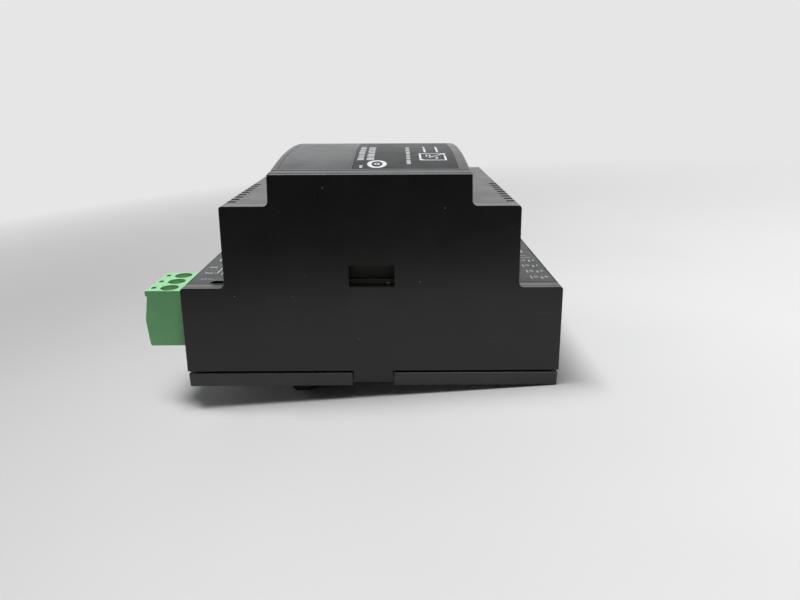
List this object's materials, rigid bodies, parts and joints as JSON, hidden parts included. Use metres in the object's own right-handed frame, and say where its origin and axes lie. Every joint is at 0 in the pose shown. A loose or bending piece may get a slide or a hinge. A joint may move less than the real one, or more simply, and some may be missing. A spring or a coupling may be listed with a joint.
{
  "type": "din rail power supply",
  "caption": "Stepped modular DIN rail power supply with an arched front lid, vent slots, printed labels, a sprung rail latch and a pluggable screw terminal.",
  "frame": {"origin": "middle of the rail seat, on the underside of the base plate", "axes": "+Z from the rail to the device's front, X across the steps from the input end (-X) to the output end (+X), Y along the rail"},
  "size_m": [0.1029, 0.071, 0.06],
  "materials": {
    "housing": "matte black moulded plastic",
    "lid": "satin black moulded plastic",
    "lid_window": "smooth dark grey film",
    "label": "black printed film",
    "latch": "matte black moulded plastic",
    "spring": "drawn spring wire",
    "terminal_green": "satin green moulded plastic",
    "screw_steel": "zinc plated steel",
    "contact_tin": "tin plated copper alloy",
    "board": "solder-masked glass epoxy laminate",
    "link_black": "black moulded plastic",
    "fuse_brown": "brown moulded plastic",
    "varistor_blue": "blue epoxy coating",
    "capacitor_yellow": "yellow plastic box",
    "capacitor_sleeve": "dark shrink sleeve",
    "ferrite": "sintered ferrite",
    "copper_wire": "enamelled copper wire",
    "winding_tape": "yellow polyester tape",
    "chip_epoxy": "black moulding compound",
    "heatsink": "plain aluminium",
    "lamp_green": "clear green epoxy",
    "light_pipe": "clear moulded plastic",
    "trimmer_blue": "blue moulded plastic",
    "trimmer_brass": "brass"
  },
  "bodies": {
    "housing": {"left_side_panel": "housing", "right_side_panel": "housing", "top_cover": "housing", "base_plate": "housing", "front_lid": "lid", "lid_window": "lid_window", "front_label": "label", "input_label": "label", "output_label": "label", "latch_spring": "spring", "input_header": "terminal_green", "output_header": "terminal_green", "board_screw_1": "screw_steel", "board_screw_2": "screw_steel", "input_pin_1": "contact_tin", "input_pin_2": "contact_tin", "input_pin_3": "contact_tin", "output_pin_1": "contact_tin", "output_pin_2": "contact_tin", "output_pin_3": "contact_tin", "output_pin_4": "contact_tin", "power_board": "board", "control_board": "board", "board_link_inner": "link_black", "board_link_outer": "link_black", "transformer_bobbin": "link_black", "fuse": "fuse_brown", "varistor": "varistor_blue", "x_capacitor": "capacitor_yellow", "bulk_capacitor": "capacitor_sleeve", "output_capacitor_1": "capacitor_sleeve", "output_capacitor_2": "capacitor_sleeve", "choke_core": "ferrite", "transformer_core": "ferrite", "output_inductor": "ferrite", "choke_winding": "copper_wire", "transformer_winding": "winding_tape", "bridge_rectifier": "chip_epoxy", "switch_transistor": "chip_epoxy", "output_rectifier": "chip_epoxy", "optocoupler": "chip_epoxy", "control_chip": "chip_epoxy", "transistor_heatsink": "heatsink", "rectifier_heatsink": "heatsink", "status_lamp": "lamp_green", "light_pipe": "light_pipe", "trimmer_body": "trimmer_blue"},
    "latch": {"rail_latch": "latch"},
    "plug": {"input_plug": "terminal_green", "plug_contact_1": "contact_tin", "plug_contact_2": "contact_tin", "plug_contact_3": "contact_tin"},
    "screw_1": {"clamp_screw_1": "screw_steel"},
    "clamp_1": {"rising_clamp_1": "screw_steel"},
    "screw_2": {"clamp_screw_2": "screw_steel"},
    "clamp_2": {"rising_clamp_2": "screw_steel"},
    "screw_3": {"clamp_screw_3": "screw_steel"},
    "clamp_3": {"rising_clamp_3": "screw_steel"},
    "trimmer": {"trimmer_rotor": "trimmer_brass"}
  },
  "joints": [
    {"name": "latch_slide", "type": "slide", "parent": "housing", "child": "latch", "axis": [1, 0, 0], "range_m": [0, 0.0045], "stiffness_N_per_m": 600, "springref_m": -0.004, "deforming": ["latch_spring"]},
    {"name": "plug_slide", "type": "slide", "parent": "housing", "child": "plug", "axis": [-1, 0, 0], "range_m": [0, 0.012]},
    {"name": "screw_turn_1", "type": "hinge", "parent": "plug", "child": "screw_1", "pos_m": [-0.0497, -0.03046, 0.0219], "axis": [0, 0, -1], "range_deg": [0, 1082]},
    {"name": "clamp_rise_1", "type": "slide", "parent": "plug", "child": "clamp_1", "axis": [0, 0, 1], "range_m": [0, 0.0015]},
    {"name": "screw_turn_2", "type": "hinge", "parent": "plug", "child": "screw_2", "pos_m": [-0.0497, -0.02538, 0.0219], "axis": [0, 0, -1], "range_deg": [0, 1082]},
    {"name": "clamp_rise_2", "type": "slide", "parent": "plug", "child": "clamp_2", "axis": [0, 0, 1], "range_m": [0, 0.0015]},
    {"name": "screw_turn_3", "type": "hinge", "parent": "plug", "child": "screw_3", "pos_m": [-0.0497, -0.0203, 0.0219], "axis": [0, 0, -1], "range_deg": [0, 1082]},
    {"name": "clamp_rise_3", "type": "slide", "parent": "plug", "child": "clamp_3", "axis": [0, 0, 1], "range_m": [0, 0.0015]},
    {"name": "trimmer_turn", "type": "hinge", "parent": "housing", "child": "trimmer", "pos_m": [0.0417, 0.02, 0.016], "axis": [1, 0, 0], "range_deg": [-135, 135]}
  ],
  "couplings": [
    {"joint": "screw_turn_1", "follows": "clamp_rise_1", "rad_per_m": 12566},
    {"joint": "screw_turn_2", "follows": "clamp_rise_2", "rad_per_m": 12566},
    {"joint": "screw_turn_3", "follows": "clamp_rise_3", "rad_per_m": 12566}
  ]
}
